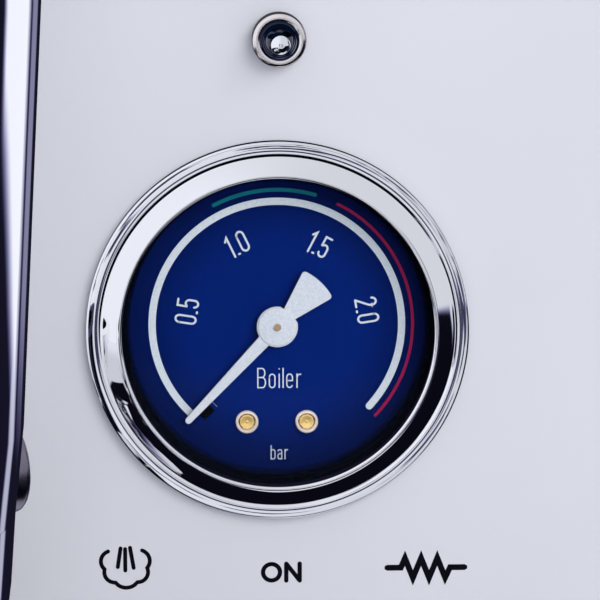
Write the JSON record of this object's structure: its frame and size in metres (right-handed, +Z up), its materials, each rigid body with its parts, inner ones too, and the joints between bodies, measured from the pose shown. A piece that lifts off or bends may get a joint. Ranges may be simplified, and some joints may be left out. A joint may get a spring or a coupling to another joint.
{
  "type": "espresso machine",
  "caption": "Home espresso machine with a spring lever group, stainless body, blue boiler pressure gauge, toggle switch, steam and water taps, drip tray and lift-out water tank",
  "frame": {"origin": "on the counter, under the middle of the machine's bounding box", "axes": "+Z up, -Y out of the front towards the user, +X to the user's right"},
  "size_m": [0.2996, 0.49, 0.6554],
  "materials": {
    "steel": "satin stainless sheet",
    "chrome": "polished plating",
    "brass": "turned brass",
    "copper": "brazed copper",
    "black_plastic": "moulded phenolic",
    "rubber": "black rubber",
    "walnut": "oiled turned walnut",
    "glass": "clear glass",
    "dial_blue": "satin navy print",
    "pointer_white": "satin pale grey paint",
    "clear_plastic": "smoky clear moulding",
    "spring_steel": "oiled spring wire"
  },
  "bodies": {
    "machine": {"base_chassis": "steel", "foot_front_left": "rubber", "foot_front_right": "rubber", "foot_back_left": "rubber", "foot_back_right": "rubber", "side_panel_left": "steel", "side_panel_right": "steel", "front_panel": "steel", "splash_panel": "steel", "back_panel": "steel", "top_panel": "steel", "cup_rail": "chrome", "gauge_bezel": "chrome", "gauge_glass": "glass", "gauge_case": "steel", "gauge_dial": "dial_blue", "dial_screw_left": "brass", "dial_screw_right": "brass", "bourdon_tube": "brass", "toggle_switch": "black_plastic", "toggle_nut": "chrome", "pilot_lamp_steam": "chrome", "pilot_lamp_on": "chrome", "pilot_lamp_heat": "chrome", "sight_glass_frame": "chrome", "sight_glass_tube": "glass", "group_body": "chrome", "group_bonnet": "chrome", "main_spring": "spring_steel", "group_gasket": "rubber", "shower_screen": "steel", "steam_valve": "chrome", "water_valve": "chrome", "boiler": "copper", "heating_element": "brass", "safety_valve": "brass", "pressurestat": "black_plastic", "pump": "black_plastic", "control_box": "black_plastic", "power_inlet": "black_plastic"},
    "piston_unit": {"piston": "brass", "fork_pin": "steel"},
    "lever": {"lever_fork": "chrome", "lever_handle": "walnut"},
    "portafilter": {"portafilter_head": "chrome", "portafilter_handle": "walnut", "portafilter_spout": "chrome", "filter_basket": "steel"},
    "tray": {"drip_tray": "steel"},
    "grille": {"drip_grille": "steel"},
    "tank": {"water_tank": "clear_plastic"},
    "lid": {"tank_lid": "steel"},
    "steam_tap_knob": {"steam_knob": "black_plastic"},
    "water_tap_knob": {"water_knob": "black_plastic"},
    "steam_arm": {"steam_wand": "chrome"},
    "water_arm": {"water_wand": "chrome"},
    "toggle": {"toggle_lever": "chrome"},
    "pointer": {"gauge_pointer": "pointer_white", "pointer_arbor": "brass"},
    "sector": {"sector_gear": "brass"}
  },
  "joints": [
    {"name": "lever_swing", "type": "hinge", "parent": "piston_unit", "child": "lever", "pos_m": [0, -0.083, 0.4099], "axis": [1, 0, 0], "range_deg": [0, 112], "stiffness_Nm_per_rad": 3.5, "springref_deg": -45.84},
    {"name": "piston_rise", "type": "slide", "parent": "machine", "child": "piston_unit", "axis": [0, 0, 1], "range_m": [0, 0.0284], "deforming": ["main_spring"]},
    {"name": "portafilter_turn", "type": "hinge", "parent": "machine", "child": "portafilter", "pos_m": [0, -0.083, 0.223], "axis": [0, 0, 1], "range_deg": [-50, 0]},
    {"name": "drip_tray_slide", "type": "slide", "parent": "machine", "child": "tray", "axis": [0, -1, 0], "range_m": [0, 0.15]},
    {"name": "drip_grille_lift", "type": "slide", "parent": "tray", "child": "grille", "axis": [0, 0, 1], "range_m": [0, 0.02]},
    {"name": "tank_lift", "type": "slide", "parent": "machine", "child": "tank", "axis": [0, 0, 1], "range_m": [0, 0.235]},
    {"name": "tank_lid_open", "type": "hinge", "parent": "tank", "child": "lid", "pos_m": [0, 0.2395, 0.3844], "axis": [-1, 0, 0], "range_deg": [0, 100]},
    {"name": "steam_knob_turn", "type": "hinge", "parent": "machine", "child": "steam_tap_knob", "pos_m": [0.112, -0.05, 0.228], "axis": [0, -1, 0], "range_deg": [0, 540]},
    {"name": "water_knob_turn", "type": "hinge", "parent": "machine", "child": "water_tap_knob", "pos_m": [-0.112, -0.05, 0.228], "axis": [0, -1, 0], "range_deg": [0, 540]},
    {"name": "steam_wand_swing", "type": "hinge", "parent": "machine", "child": "steam_arm", "pos_m": [0.112, -0.022, 0.201], "axis": [0, 0, 1], "range_deg": [-70, 30]},
    {"name": "water_wand_swing", "type": "hinge", "parent": "machine", "child": "water_arm", "pos_m": [-0.112, -0.022, 0.201], "axis": [0, 0, 1], "range_deg": [-30, 70]},
    {"name": "toggle_flip", "type": "hinge", "parent": "machine", "child": "toggle", "pos_m": [0.0752, -0.008, 0.3558], "axis": [1, 0, 0], "range_deg": [-13, 13]},
    {"name": "pointer_sweep", "type": "hinge", "parent": "machine", "child": "pointer", "pos_m": [0.075, -0.003, 0.31], "axis": [0, 1, 0], "range_deg": [0, 270], "stiffness_Nm_per_rad": 0.0002, "springref_deg": -28.65},
    {"name": "sector_swing", "type": "hinge", "parent": "machine", "child": "sector", "pos_m": [0.075, 0.006, 0.2974], "axis": [0, 1, 0], "range_deg": [-45.1, 0]}
  ],
  "couplings": [
    {"joint": "piston_rise", "follows": "lever_swing", "m_per_rad": 0.0145},
    {"joint": "sector_swing", "follows": "pointer_sweep", "ratio": -0.16667}
  ]
}
